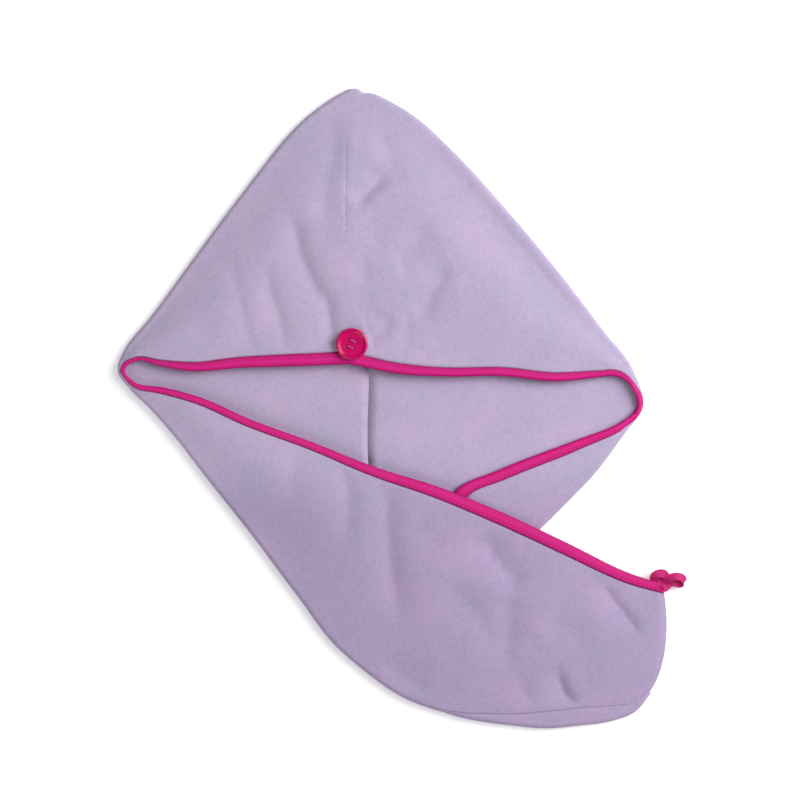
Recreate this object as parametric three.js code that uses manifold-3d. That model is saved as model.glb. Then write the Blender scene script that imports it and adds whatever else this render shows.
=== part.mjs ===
// Hair turban towel lying folded on a flat surface, in millimetres.
// X runs to the right, Y towards the crown, Z up. Measured from the nape until the last step.
import * as THREE from "three";
import { mergeVertices } from "three/addons/utils/BufferGeometryUtils.js";
import Module from "manifold-3d";

const wasm = await Module();
wasm.setup();

// Outline sizes
const hoodHeight = 215.3; // nape to crown
const hoodLeft = 181; // nape to the left corner
const hoodRight = 228.5; // nape to the right corner
const tailLength = 451;
const tailWidth = 156;
const tailFall = 22; // degrees the tail runs down from the left corner
const tailStartX = -173.2;
const tailStartY = -6.2;
const endBow = 6; // how far the tail's end bulges out

// Cloth
const clothThickness = 2.2;
const seamThickness = 1.5;
const hemThickness = 1; // inside the binding
const seamReach = 2.5; // width of the pressed strip beside a seam
const layHeight = 10; // middle of the upper cloth at the nape
const foldRadius = 2.6; // middle of the cloth at a fold
const foldEasing = 0.8; // how softly cloth is kept on the inner side of a fold
const seamBow = 3.5; // how far the crown seam leans left half way up
const hemLift = 0.8; // how far the bound edge lifts the lowest cloth
const hemLiftReach = 25;
const endRounding = 12; // dents fade out this close to a fold
const clearance = 0.3;
const seamGap = 0.35; // each side of the seam

// Binding
const bandWidth = 8;
const bandThickness = 3.4;
const bandWall = 0.7;

// Button and its stitches
const buttonRadius = 12.5;
const buttonHeight = 4;
const buttonRimWidth = 2.4;
const buttonDish = 1.4; // depth of the face below the rim
const buttonHollow = 1; // recess under the face
const buttonHollowRadius = 5.5;
const buttonHoleRadius = 1.05;
const buttonHoleSpacing = 5.2;
const buttonTurn = -24; // degrees
const buttonX = 1.6;
const buttonY = 15.6;
const threadRadius = 0.6;

// Elastic loop
const loopWidth = 6.6;
const loopThickness = 1;

// Grid
const columnSpacing = 31;
const columnTurn = 52; // degrees of edge or fold turned in one column
const leftRows = { before: [7, 3, 2], after: [12, 0, 0] }; // rows in each piece of a run
const rightRows = { before: [7, 3, 2, 0, 0], after: [0, 0, 6, 3, 3] }; // until the closing and after it
const smallestRow = 0.6;
const closing = [0.76, 0.815]; // where the flap's fold opens out, hidden under the tail
const closingColumns = 9;

const table = (names, rows) => {
  const keys = names.split(" ");
  return rows.map((row) => Object.fromEntries(keys.map((key, i) => [key, row[i]])));
};

// Free edges, folds and the seam, by share of the run from the nape to the tail's tip.
// "hood": across in shares of hoodLeft or hoodRight, up in shares of hoodHeight.
// "tail": across in shares of tailLength, up in shares of tailWidth, counted down from the front edge.
const leftEdge = table("at on across up", [
  [0, "hood", 0, 0],
  [0.062, "hood", -0.216, -0.007],
  [0.136, "hood", -0.474, -0.014],
  [0.198, "hood", -0.69, -0.025],
  [0.235, "hood", -0.819, -0.007],
  [0.262, "hood", -0.919, 0.012],
  [0.282, "hood", -0.969, -0.024],
  [0.291, "tail", 0.007, 0.032],
  [0.301, "tail", 0.021, 0.035],
  [0.337, "tail", 0.069, 0.003],
  [0.381, "tail", 0.132, -0.019],
  [0.449, "tail", 0.226, -0.011],
  [0.528, "tail", 0.337, -0.021],
  [0.615, "tail", 0.459, -0.024],
  [0.698, "tail", 0.575, -0.051],
  [0.783, "tail", 0.695, -0.051],
  [0.87, "tail", 0.817, -0.031],
  [0.959, "tail", 0.939, -0.008],
  [1, "tail", 0.994, -0.02],
]);
const leftFold = table("at on across up", [
  [0, "hood", 0, 1],
  [0.03, "hood", -0.086, 0.96],
  [0.062, "hood", -0.203, 0.884],
  [0.136, "hood", -0.474, 0.609],
  [0.198, "hood", -0.711, 0.341],
  [0.235, "hood", -0.853, 0.178],
  [0.262, "hood", -0.974, 0.051],
  [0.282, "hood", -1.002, -0.027],
  [0.301, "tail", 0.01, 0.07],
  [0.337, "tail", 0.055, 0.125],
  [0.381, "tail", 0.111, 0.205],
  [0.449, "tail", 0.196, 0.348],
  [0.528, "tail", 0.3, 0.518],
  [0.615, "tail", 0.413, 0.715],
  [0.698, "tail", 0.532, 0.906],
  [0.75, "tail", 0.646, 0.993],
  [0.783, "tail", 0.703, 0.994],
  [0.8, "tail", 0.726, 0.989],
  [0.82, "tail", 0.756, 0.98],
  [0.87, "tail", 0.842, 0.923],
  [0.9, "tail", 0.9, 0.872],
  [0.93, "tail", 0.951, 0.798],
  [0.96, "tail", 1.002, 0.704],
  [0.98, "tail", 1.028, 0.625],
  [1, "tail", 1.041, 0.51],
]);
const seamLine = table("at on across up", [
  [0, "hood", 0, 1],
  [0.03, "hood", 0.002, 0.913],
  [0.062, "hood", 0.01, 0.819],
  [0.198, "hood", 0.041, 0.42],
  [0.337, "hood", 0.065, 0.014],
  [0.449, "hood", 0.061, -0.315],
  [0.528, "tail", 0.484, 0.206],
  [0.615, "tail", 0.545, 0.512],
  [0.698, "tail", 0.616, 0.752],
  [0.75, "tail", 0.674, 0.896],
  [0.783, "tail", 0.706, 0.965],
  [0.8, "tail", 0.726, 0.981],
  [0.815, "tail", 0.749, 0.967],
  [0.84, "tail", 0.786, 0.924],
  [0.87, "tail", 0.838, 0.866],
  [0.9, "tail", 0.891, 0.791],
  [0.93, "tail", 0.943, 0.709],
  [0.96, "tail", 0.993, 0.642],
  [0.98, "tail", 1.026, 0.584],
  [1, "tail", 1.042, 0.468],
]);
const rightEdge = table("at on across up", [
  [0, "hood", 0, 0],
  [0.063, "hood", 0.171, -0.036],
  [0.125, "hood", 0.341, -0.045],
  [0.186, "hood", 0.512, -0.043],
  [0.26, "hood", 0.717, -0.062],
  [0.31, "hood", 0.853, -0.047],
  [0.325, "hood", 0.898, -0.043],
  [0.344, "hood", 0.944, -0.062],
  [0.368, "hood", 0.981, -0.127],
  [0.385, "hood", 0.979, -0.165],
  [0.409, "hood", 0.928, -0.208],
  [0.463, "hood", 0.77, -0.267],
  [0.523, "hood", 0.613, -0.325],
  [0.57, "hood", 0.495, -0.384],
  [0.618, "hood", 0.379, -0.449],
  [0.64, "hood", 0.338, -0.511],
  [0.66, "hood", 0.321, -0.583],
  [0.68, "hood", 0.334, -0.674],
  [0.7, "hood", 0.382, -0.754],
  [0.72, "hood", 0.468, -0.812],
  [0.74, "hood", 0.573, -0.833],
  [0.76, "hood", 0.689, -0.812],
  [0.775, "hood", 0.765, -0.772],
]);
const rightFold = table("at on across up", [
  [0, "hood", 0, 1],
  [0.008, "hood", 0.025, 0.999],
  [0.018, "hood", 0.045, 0.986],
  [0.032, "hood", 0.078, 0.982],
  [0.063, "hood", 0.184, 0.926],
  [0.125, "hood", 0.358, 0.768],
  [0.186, "hood", 0.529, 0.569],
  [0.26, "hood", 0.737, 0.304],
  [0.31, "hood", 0.877, 0.109],
  [0.344, "hood", 0.962, -0.007],
  [0.368, "hood", 1.002, -0.123],
  [0.385, "hood", 0.993, -0.174],
  [0.409, "hood", 0.949, -0.239],
  [0.463, "hood", 0.853, -0.377],
  [0.523, "hood", 0.775, -0.467],
  [0.57, "hood", 0.7, -0.547],
  [0.618, "hood", 0.621, -0.630],
  [0.65, "hood", 0.590, -0.670],
  [0.68, "hood", 0.580, -0.710],
  [0.705, "hood", 0.597, -0.743],
  [0.73, "hood", 0.638, -0.761],
  [0.76, "hood", 0.706, -0.766],
  [0.775, "hood", 0.765, -0.772],
  [0.79, "tail", 0.869, 0.099],
  [0.84, "tail", 0.901, 0.075],
  [0.9, "tail", 0.942, 0.038],
  [1, "tail", 0.997, -0.010],
]);

// How the cloth lies: edge and puff in shares of layHeight, radius of foldRadius, band of bandWidth,
// lift of hemLift.
const leftLie = table("at edge puff radius band lift", [
  [0, 1, 0.5, 1, 1.22, 0],
  [0.06, 0.98, 0.5, 1, 1.2, 0],
  [0.136, 0.95, 0.5, 1, 1.08, 0],
  [0.198, 0.9, 0.4, 1, 0.88, 0],
  [0.235, 0.8, 0.3, 1, 0.64, 0],
  [0.262, 0.72, 0.15, 1, 0.5, 0],
  [0.282, 0.68, 0.05, 1, 0.45, 0],
  [0.301, 0.7, 0.05, 1, 0.58, 0],
  [0.337, 0.8, 0.2, 1, 0.72, 0],
  [0.381, 0.9, 0.4, 1, 0.74, 0],
  [0.449, 0.92, 0.6, 1, 0.76, 0],
  [0.528, 0.92, 0.7, 1, 0.76, 0],
  [0.615, 0.95, 0.65, 1, 0.92, 0],
  [0.698, 0.98, 0.6, 1, 1.05, 0],
  [0.783, 0.97, 0.5, 1, 1.1, 0],
  [0.87, 0.85, 0.4, 0.92, 1.08, 0],
  [0.959, 0.65, 0.2, 0.65, 0.96, 0],
  [1, 0.58, 0, 0.48, 0.96, 0],
]);
const rightLie = table("at edge puff radius band lift", [
  [0, 1, 0.5, 1, 1.22, 0],
  [0.063, 0.98, 0.5, 1, 1.06, 0],
  [0.125, 0.96, 0.5, 1, 0.88, 0],
  [0.186, 0.95, 0.5, 1, 0.87, 0],
  [0.26, 0.85, 0.35, 1, 0.87, 0],
  [0.31, 0.75, 0.2, 1, 0.68, 0],
  [0.344, 0.7, 0.05, 1, 0.6, 0],
  [0.368, 0.66, 0.05, 1, 0.55, 0],
  [0.385, 0.62, 0.05, 0.9, 0.52, 0],
  [0.409, 0.58, 0.08, 0.8, 0.66, 0],
  [0.463, 0.55, 0.12, 0.78, 0.95, 0],
  [0.523, 0.54, 0.12, 0.78, 1.1, 0],
  [0.618, 0.53, 0.1, 0.78, 1.1, 0],
  [0.7, 0.61, 0.05, 0.8, 0.85, 0],
  [0.74, 0.63, 0, 0.82, 0.5, 0.6],
  [0.765, 0.62, 0, 0.85, 0.4, 1],
  [0.81, 0.62, 0, 0.85, 0.4, 1],
  [0.85, 0.51, 0, 0.78, 1, 1],
  [1, 0.51, 0, 0.78, 1, 1],
]);

// Dents in the upper cloth, each a groove from one point to another.
const dents = table("on across up toAcross toUp width depth", [
  ["hood", -0.078, 0.92, -0.078, 0.63, 17, 2.1],
  ["hood", -0.22, 0.449, -0.086, 0.181, 18, 2.3],
  ["hood", -0.086, 0.181, -0.065, 0.069, 14, 1.6],
  ["hood", -0.5, 0.359, -0.47, 0.199, 14, 1.6],
  ["hood", -0.336, 0.268, -0.284, 0.076, 15, 1.8],
  ["hood", 0.02, 0.583, 0.092, 0.652, 14, 1.6],
  ["hood", 0.273, 0.268, 0.334, 0.351, 17, 1.6],
  ["hood", 0.239, 0.667, 0.444, 0.377, 20, 1.6],
  ["tail", 0.404, 0.08, 0.434, 0.183, 17, 1.8],
  ["tail", 0.503, 0.203, 0.546, 0.344, 17, 1.8],
  ["tail", 0.546, 0.344, 0.589, 0.58, 20, 2.3],
  ["tail", 0.745, 0.3, 0.783, 0.499, 18, 2.3],
  ["tail", 0.918, 0.2, 0.988, 0.3, 14, 1.3],
  ["tail", 0.815, 0.65, 0.856, 0.7, 17, 1.6],
]);

// The loop's band from the tip out and back, in millimetres from the tip: place, and the lie of its
// width in degrees, turned round the upright and then tilted up.
const loopPath = table("x y z turn tilt", [
  [-6.1, 3, 5.9, -20, 0],
  [-6.4, 4.2, 7.3, -16, 0],
  [-5.6, 5.8, 8.6, -36, 10],
  [-3.2, 6.9, 8.8, -60, 20],
  [0.6, 7, 7.6, -84, 26],
  [4.4, 6.2, 7.2, -94, 30],
  [8.5, 5.7, 7.6, -92, 34],
  [13, 5.6, 7.4, -92, 34],
  [16.4, 4.4, 6.2, -96, 32],
  [17.6, 2.2, 4.8, -100, 30],
  [16, 0.4, 3.6, -98, 30],
  [12.2, 0, 3, -92, 28],
  [8.4, 1.2, 3.2, -84, 18],
  [6, 0.5, 3.6, -72, 6],
  [4.2, -1.4, 4.5, -64, 0],
  [2.4, -2.8, 5.2, -74, 0],
  [1.05, -3.2, 5.7, -80, 0],
]);

const radians = THREE.MathUtils.degToRad;
const ease = (from, to, value) => THREE.MathUtils.smoothstep(value, from, to);
const mix = THREE.MathUtils.lerp;

function planOf(on, across, up) {
  if (on === "hood") return [across * (across < 0 ? hoodLeft : hoodRight), up * hoodHeight];
  const along = across * tailLength;
  const down = up * tailWidth;
  const fall = radians(tailFall);
  return [
    tailStartX + along * Math.cos(fall) - down * Math.sin(fall),
    tailStartY - along * Math.sin(fall) - down * Math.cos(fall),
  ];
}

// A smooth curve through knots. A steady one never overshoots them.
function through(knots, values, steady = false) {
  const last = knots.length - 1;
  const rise = (i) => (values[i + 1] - values[i]) / (knots[i + 1] - knots[i]);
  const slopes = values.map((_, i) => {
    if (i === 0) return rise(0);
    if (i === last) return rise(last - 1);
    const before = knots[i] - knots[i - 1];
    const after = knots[i + 1] - knots[i];
    if (steady && rise(i - 1) * rise(i) <= 0) return 0;
    if (steady) return (2 * rise(i - 1) * rise(i)) / (rise(i - 1) + rise(i));
    return (rise(i - 1) * after + rise(i) * before) / (before + after);
  });
  return (at) => {
    const place = Math.min(Math.max(at, knots[0]), knots[last]);
    let i = 0;
    while (i < last - 1 && place > knots[i + 1]) i += 1;
    const span = knots[i + 1] - knots[i];
    const t = (place - knots[i]) / span;
    const t2 = t * t;
    const t3 = t2 * t;
    return (
      values[i] * (2 * t3 - 3 * t2 + 1) +
      slopes[i] * span * (t3 - 2 * t2 + t) +
      values[i + 1] * (3 * t2 - 2 * t3) +
      slopes[i + 1] * span * (t3 - t2)
    );
  };
}

function planCurve(rows) {
  const knots = rows.map((row) => row.at);
  const points = rows.map((row) => planOf(row.on, row.across, row.up));
  const x = through(knots, points.map((point) => point[0]));
  const y = through(knots, points.map((point) => point[1]));
  return (at) => new THREE.Vector2(x(at), y(at));
}

const column = (rows, key) =>
  through(rows.map((row) => row.at), rows.map((row) => row[key]), true);

function panelOf(side, edge, fold, lie) {
  return {
    side,
    edge: planCurve(edge),
    fold: planCurve(fold),
    height: column(lie, "edge"),
    puff: column(lie, "puff"),
    radius: column(lie, "radius"),
    band: column(lie, "band"),
    lift: column(lie, "lift"),
  };
}

const left = panelOf(-1, leftEdge, leftFold, leftLie);
const right = panelOf(1, rightEdge, rightFold, rightLie);
const seam = planCurve(seamLine);
const ground = clothThickness / 2;

// Share of the tail's bottom fold that the left panel takes, and of the flap's fold still turned over.
const wrapAt = (at) => 1 - ease(0.785, 0.815, at);
const flapAt = (at) => 1 - ease(0.775, 0.805, at);

const grooves = dents.map((dent) => ({
  from: new THREE.Vector2(...planOf(dent.on, dent.across, dent.up)),
  to: new THREE.Vector2(...planOf(dent.on, dent.toAcross, dent.toUp)),
  width: dent.width,
  depth: dent.depth,
}));

function dentAt(place) {
  let depth = 0;
  for (const { from, to, width, depth: most } of grooves) {
    const along = to.clone().sub(from);
    const share = place.clone().sub(from).dot(along) / along.lengthSq();
    const nearest = from.clone().addScaledVector(along, Math.min(Math.max(share, 0), 1));
    depth += most * Math.exp(-((place.distanceTo(nearest) / width) ** 2));
  }
  return depth;
}

// The fold of a panel at a station: its outward direction, radius, middle and heights.
function foldAt(panel, at) {
  const step = 0.004;
  const from = panel.fold(Math.max(at - step, 0));
  const along = panel.fold(Math.min(at + step, 1)).sub(from);
  const outward = new THREE.Vector2(-along.y, along.x).multiplyScalar(panel.side).normalize();
  outward.lerp(new THREE.Vector2(0, 1), 1 - ease(0, 0.03, at)).normalize();
  const radius = foldRadius * panel.radius(at);
  const outermost = panel.fold(at).addScaledVector(outward, -clothThickness / 2);
  const lowest = ground + hemLift * panel.lift(at);
  return {
    outward,
    radius,
    middle: outermost.clone().addScaledVector(outward, -radius),
    lowest,
    highest: lowest + 2 * radius,
  };
}

// A point of the cloth beside a fold, kept on the inner side of the fold's middle.
function besideFold(fold, place) {
  const inward = fold.middle.clone().sub(place).dot(fold.outward);
  const kept = (inward + Math.hypot(inward, foldEasing)) / 2;
  return place.clone().addScaledVector(fold.outward, inward - kept);
}

const bow = (at, share) => endBow * ease(0.86, 1, at) * 4 * share * (1 - share);

function upperLine(panel, at, from, fromHeight, to, toHeight) {
  const puff = layHeight * panel.puff(at);
  const lean = seamBow * (1 - ease(0, 0.12, at));
  return (share) => {
    const place = from.clone().lerp(to, share);
    if (panel === left) place.x += bow(at, share);
    place.x -= lean * (1 - (2 * share - 1) ** 4);
    const remaining = to.distanceTo(place);
    const swell = puff * ease(0, 0.45, share) * (1 - share ** 6);
    const dent = dentAt(place) * ease(0, endRounding, remaining);
    return new THREE.Vector3(place.x, place.y, mix(fromHeight, toHeight, share) + swell - dent);
  };
}

function lowerLine(at, from, fromHeight, to, toHeight, bowed) {
  return (share) => {
    const place = from.clone().lerp(to, share);
    if (bowed) place.x += bow(at, share);
    const fade = 1 - ease(0, hemLiftReach, from.distanceTo(place));
    return new THREE.Vector3(place.x, place.y, mix(toHeight, fromHeight, fade));
  };
}

function foldTurn(fold, start, end) {
  return (share) => {
    const angle = Math.PI * mix(start, end, share);
    const middleHeight = fold.lowest + fold.radius;
    const reach = fold.radius * Math.sin(angle);
    return new THREE.Vector3(
      fold.middle.x + fold.outward.x * reach,
      fold.middle.y + fold.outward.y * reach,
      middleHeight + fold.radius * Math.cos(angle),
    );
  };
}

// The run of cloth at a station from the free edge to the seam, in pieces.
function runOf(panel, at) {
  const wrap = wrapAt(at);
  const hem = foldAt(left, at);
  const sewn = besideFold(hem, seam(at));
  if (panel === left) {
    const start = besideFold(hem, left.edge(at));
    const end = wrap > 0 ? hem.middle : sewn;
    return [
      upperLine(left, at, start, layHeight * left.height(at), end, hem.highest),
      foldTurn(hem, 0, wrap),
      lowerLine(at, hem.middle, ground, wrap < 1 ? hem.middle : sewn, ground),
    ];
  }
  const fold = foldAt(right, at);
  const flap = flapAt(at);
  const start = flap < 1 ? fold.middle : besideFold(fold, right.edge(at));
  const startHeight = flap < 1 ? fold.highest : layHeight * right.height(at);
  const end = wrap < 1 ? hem.middle : sewn;
  return [
    upperLine(right, at, start, startHeight, fold.middle, fold.highest),
    foldTurn(fold, 1 - flap, 1),
    lowerLine(at, fold.middle, fold.lowest, end, ground, true),
    foldTurn(hem, 1, wrap),
    lowerLine(at, hem.middle, hem.highest, wrap > 0 ? hem.middle : sewn, hem.highest),
  ];
}

// A run measured along the cloth from the free edge.
const pieceSteps = 32;
function measured(panel, at) {
  const step = 0.002;
  const pieces = runOf(panel, at);
  const before = runOf(panel, Math.max(at - step, 0));
  const after = runOf(panel, Math.min(at + step, 1));
  const marks = [{ distance: 0, piece: 0, share: 0 }];
  const ends = [];
  let distance = 0;
  pieces.forEach((piece, index) => {
    let last = piece(0);
    for (let i = 1; i <= pieceSteps; i += 1) {
      const next = piece(i / pieceSteps);
      const length = next.distanceTo(last);
      distance += length;
      if (length > 1e-6) marks.push({ distance, piece: index, share: i / pieceSteps });
      last = next;
    }
    ends.push(distance);
  });
  const atDistance = (value) => {
    let i = 1;
    while (i < marks.length - 1 && marks[i].distance < value) i += 1;
    const low = marks[i - 1];
    const high = marks[i];
    const part = (value - low.distance) / (high.distance - low.distance);
    const share = high.share - (1 - part) / pieceSteps;
    const tiny = 0.004;
    const middle = Math.min(Math.max(share, tiny), 1 - tiny);
    const along = pieces[high.piece](middle + tiny).sub(pieces[high.piece](middle - tiny));
    const across = after[high.piece](share).sub(before[high.piece](share));
    const normal = across.cross(along).multiplyScalar(panel.side).normalize();
    return { place: pieces[high.piece](share), normal };
  };
  return { length: distance, ends, atDistance };
}

// Rows of cloth from one distance to the end of the run, so many in each piece.
function rowsIn(ends, counts, from, to) {
  const rows = [];
  let start = from;
  let remaining = counts.reduce((sum, count) => sum + count, 0);
  counts.forEach((count, piece) => {
    remaining -= count;
    const earliest = start + count * smallestRow;
    const latest = to - remaining * smallestRow;
    const end = remaining ? Math.min(Math.max(ends[piece], earliest), latest) : to;
    for (let row = 1; row <= count; row += 1) rows.push(mix(start, end, row / count));
    if (count) start = end;
  });
  return rows;
}

// Stations shared by both panels, closer together where an edge or a fold turns.
function sharedStations() {
  const steps = 600;
  const curves = [left.edge, left.fold, right.edge, right.fold];
  const heading = (curve, at) => {
    const along = curve(at + 0.003).sub(curve(at - 0.003));
    return Math.atan2(along.y, along.x);
  };
  const turned = (from, to) =>
    Math.abs(THREE.MathUtils.euclideanModulo(to - from + Math.PI, 2 * Math.PI) - Math.PI);
  const cost = [0];
  for (let i = 1; i <= steps; i += 1) {
    const from = Math.max((i - 1) / steps, 0.004);
    const to = Math.min(i / steps, 0.994);
    const most = curves.map((curve) => {
      const moved = curve(to).distanceTo(curve(from));
      const turn = moved > 0.001 ? turned(heading(curve, from), heading(curve, to)) : 0;
      return moved / columnSpacing + Math.min(turn, 1) / radians(columnTurn);
    });
    const within = from >= closing[0] && to <= closing[1];
    const extra = within ? closingColumns / ((closing[1] - closing[0]) * steps) : 0;
    cost.push(cost[i - 1] + Math.max(...most) + extra);
  }
  const count = Math.ceil(cost[steps]);
  const stations = [0, 0.004];
  for (let n = 1; n < count; n += 1) {
    const wanted = (cost[steps] * n) / count;
    let i = 1;
    while (cost[i] < wanted) i += 1;
    stations.push((i - 1 + (wanted - cost[i - 1]) / (cost[i] - cost[i - 1])) / steps);
  }
  return [...stations, 0.994, 1];
}
const stations = sharedStations();

// A closed solid from rings of points, each ring the outline of one station.
function solidOfRings(rings, caps) {
  const count = rings[0].length;
  const index = [];
  for (let i = 0; i < rings.length - 1; i += 1) {
    for (let j = 0; j < count; j += 1) {
      const a = i * count + j;
      const b = i * count + ((j + 1) % count);
      index.push(a, b, b + count, a, b + count, a + count);
    }
  }
  const last = (rings.length - 1) * count;
  for (const [a, b, c] of caps) {
    index.push(a, c, b);
    index.push(last + a, last + b, last + c);
  }
  const geometry = new THREE.BufferGeometry().setFromPoints(rings.flat());
  geometry.setIndex(index);
  return facingOut(geometry);
}

function facingOut(geometry) {
  const place = geometry.getAttribute("position");
  const index = geometry.getIndex().array;
  const corner = (i) => new THREE.Vector3().fromBufferAttribute(place, index[i]);
  let volume = 0;
  for (let i = 0; i < index.length; i += 3) volume += corner(i).dot(corner(i + 1).cross(corner(i + 2)));
  if (volume < 0) index.reverse();
  geometry.computeVertexNormals();
  return geometry;
}

// A panel: rings run up one face of the cloth and back down the other.
function panelSolid(panel, rowCounts) {
  const rings = stations.map((at) => {
    const run = measured(panel, at);
    const band = bandWidth * panel.band(at);
    const thinTo = band + clearance;
    const thickFrom = thinTo + clearance;
    const end = run.length - seamGap;
    const before = rowsIn(run.ends, rowCounts.before, thickFrom, end);
    const after = rowsIn(run.ends, rowCounts.after, thickFrom, end);
    const closed = ease(closing[0], closing[1], at);
    const body = before.map((distance, row) => mix(distance, after[row], closed));
    const pressed = Math.max(end - seamReach, (end + body.at(-2)) / 2);
    const distances = [bandWall + 2 * clearance, 0.6 * band, thinTo, thickFrom, ...body, pressed].sort(
      (a, b) => a - b,
    );
    const sewn = at === 0 || at === 1;
    const faces = distances.map((distance, row) => {
      const { place, normal } = run.atDistance(distance);
      const thin = row < 3;
      const atSeam = sewn || row === distances.length - 1;
      const thickness = thin ? hemThickness : atSeam ? seamThickness : clothThickness;
      place.x += (panel.side * clearance) / 2;
      if (at === 0) normal.setX(0).normalize();
      return { place, offset: normal.multiplyScalar(thickness / 2) };
    });
    const top = faces.map(({ place, offset }) => place.clone().add(offset));
    const under = faces.map(({ place, offset }) => place.clone().sub(offset));
    return [...top, ...under.reverse()];
  });
  const rows = rings[0].length / 2;
  const caps = [];
  for (let row = 0; row < rows - 1; row += 1) {
    const a = row;
    const b = row + 1;
    const c = 2 * rows - 2 - row;
    const d = 2 * rows - 1 - row;
    caps.push([a, b, c], [a, c, d]);
  }
  return solidOfRings(rings, caps);
}

// The binding: a U of tape round the free edge, from the tip over the nape and back.
function bindingSolid() {
  const half = bandThickness / 2;
  const slot = half - bandWall;
  const section = (band) => [
    [band, half - 0.15],
    [0.6 * band, half],
    [0.9, half - 0.15],
    [0, half * 0.55],
    [0, -half * 0.55],
    [0.9, 0.15 - half],
    [0.6 * band, -half],
    [band, 0.15 - half],
    [band, -slot],
    [0.6 * band, -slot],
    [bandWall, -slot],
    [bandWall, slot],
    [0.6 * band, slot],
    [band, slot],
  ];
  const ringOf = (panel) => (at) => {
    const run = measured(panel, at);
    return section(bandWidth * panel.band(at)).map(([distance, offset]) => {
      const { place, normal } = run.atDistance(distance);
      return place.addScaledVector(normal, offset);
    });
  };
  const rings = [
    ...stations.toReversed().map(ringOf(left)),
    ...stations.slice(1).map(ringOf(right)),
  ];
  const outline = section(bandWidth).map(([x, y]) => new THREE.Vector2(x, y));
  return solidOfRings(rings, THREE.ShapeUtils.triangulateShape(outline, []));
}

// A closed three.js geometry as a solid that can be joined and cut, and back.
function solidOf(geometry) {
  geometry.deleteAttribute("normal");
  geometry.deleteAttribute("uv");
  const merged = mergeVertices(geometry, 1e-4);
  return new wasm.Manifold(
    new wasm.Mesh({
      numProp: 3,
      vertProperties: merged.getAttribute("position").array,
      triVerts: new Uint32Array(merged.getIndex().array),
    }),
  );
}

function geometryOf(solid) {
  const mesh = solid.getMesh();
  const geometry = new THREE.BufferGeometry();
  geometry.setAttribute("position", new THREE.BufferAttribute(mesh.vertProperties, mesh.numProp));
  geometry.setIndex(new THREE.BufferAttribute(mesh.triVerts, 1));
  geometry.computeVertexNormals();
  return geometry;
}

// A round rod between two points.
function rod(radius, from, to, sides) {
  const along = to.clone().sub(from);
  const middle = from.clone().addScaledVector(along, 0.5);
  const geometry = new THREE.CylinderGeometry(radius, radius, along.length(), sides);
  const upright = new THREE.Vector3(0, 1, 0);
  geometry.applyQuaternion(new THREE.Quaternion().setFromUnitVectors(upright, along.normalize()));
  geometry.translate(middle.x, middle.y, middle.z);
  return solidOf(geometry);
}

const bandTop = layHeight + bandThickness / 2;
const buttonBase = bandTop + clearance;
const faceHeight = buttonHeight - buttonDish;
const holes = [45, 135, 225, 315].map((angle) => {
  const turn = radians(angle + buttonTurn);
  const reach = buttonHoleSpacing / Math.SQRT2;
  return [Math.cos(turn) * reach, Math.sin(turn) * reach];
});
const inHole = (hole, height) => new THREE.Vector3(...holes[hole], height);

function buttonGeometry() {
  const profile = [
    [0, buttonHollow],
    [buttonHollowRadius, buttonHollow],
    [buttonHollowRadius, 0],
    [buttonRadius - 1.4, 0],
    [buttonRadius - 0.3, 0.8],
    [buttonRadius, 2],
    [buttonRadius - 0.3, 3.2],
    [buttonRadius - 1, buttonHeight],
    [buttonRadius - 1.8, buttonHeight],
    [buttonRadius - buttonRimWidth, faceHeight + 0.2],
    [buttonRadius - buttonRimWidth - 0.8, faceHeight],
    [0, faceHeight],
  ];
  const disc = new THREE.LatheGeometry(
    profile.map(([radius, height]) => new THREE.Vector2(radius, height)),
    24,
  ).rotateX(Math.PI / 2);
  const bores = holes.map((_, hole) =>
    rod(buttonHoleRadius, inHole(hole, -1), inHole(hole, buttonHeight + 1), 8),
  );
  return geometryOf(bores.reduce((solid, bore) => solid.subtract(bore), solidOf(disc)));
}

function threadGeometry() {
  const over = faceHeight + clearance + threadRadius;
  const under = buttonHollow - clearance - threadRadius;
  const stitches = [
    [0, 1, over],
    [2, 3, over],
    [1, 2, under],
    [3, 0, under],
  ].map(([from, to, height]) => rod(threadRadius, inHole(from, height), inHole(to, height), 6));
  const legs = holes.map((_, hole) =>
    rod(threadRadius, inHole(hole, under), inHole(hole, over + threadRadius), 6),
  );
  return geometryOf([...legs, ...stitches].reduce((solid, piece) => solid.add(piece)));
}

function loopSolid() {
  const tip = left.edge(1);
  const knots = loopPath.map((_, i) => i / (loopPath.length - 1));
  const line = (key) => through(knots, loopPath.map((row) => row[key]));
  const [x, y, z, turn, tilt] = ["x", "y", "z", "turn", "tilt"].map(line);
  const place = (at) => new THREE.Vector3(tip.x + x(at), tip.y + y(at), z(at));
  const steps = 28;
  const rings = [];
  for (let i = 0; i <= steps; i += 1) {
    const at = i / steps;
    const along = place(Math.min(at + 0.01, 1)).sub(place(Math.max(at - 0.01, 0))).normalize();
    const across = new THREE.Vector3(1, 0, 0)
      .applyAxisAngle(new THREE.Vector3(0, -1, 0), radians(tilt(at)))
      .applyAxisAngle(new THREE.Vector3(0, 0, 1), radians(turn(at)));
    across.addScaledVector(along, -across.dot(along)).normalize();
    const outward = along.clone().cross(across);
    const corners = [
      [-0.5, -0.3],
      [-0.5, 0.3],
      [-0.4, 0.5],
      [0.4, 0.5],
      [0.5, 0.3],
      [0.5, -0.3],
      [0.4, -0.5],
      [-0.4, -0.5],
    ];
    rings.push(
      corners.map(([w, t]) =>
        place(at)
          .addScaledVector(across, w * loopWidth)
          .addScaledVector(outward, t * loopThickness),
      ),
    );
  }
  const caps = [1, 2, 3, 4, 5, 6].map((i) => [0, i, i + 1]);
  return solidOfRings(rings, caps);
}

const fleece = { color: 0xbaacc8, roughness: 1 };
const satin = { color: 0xe12382, roughness: 0.45 };
const plastic = { color: 0xd70a6e, roughness: 0.2 };
const cotton = { color: 0xe8559c, roughness: 0.8 };

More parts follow.
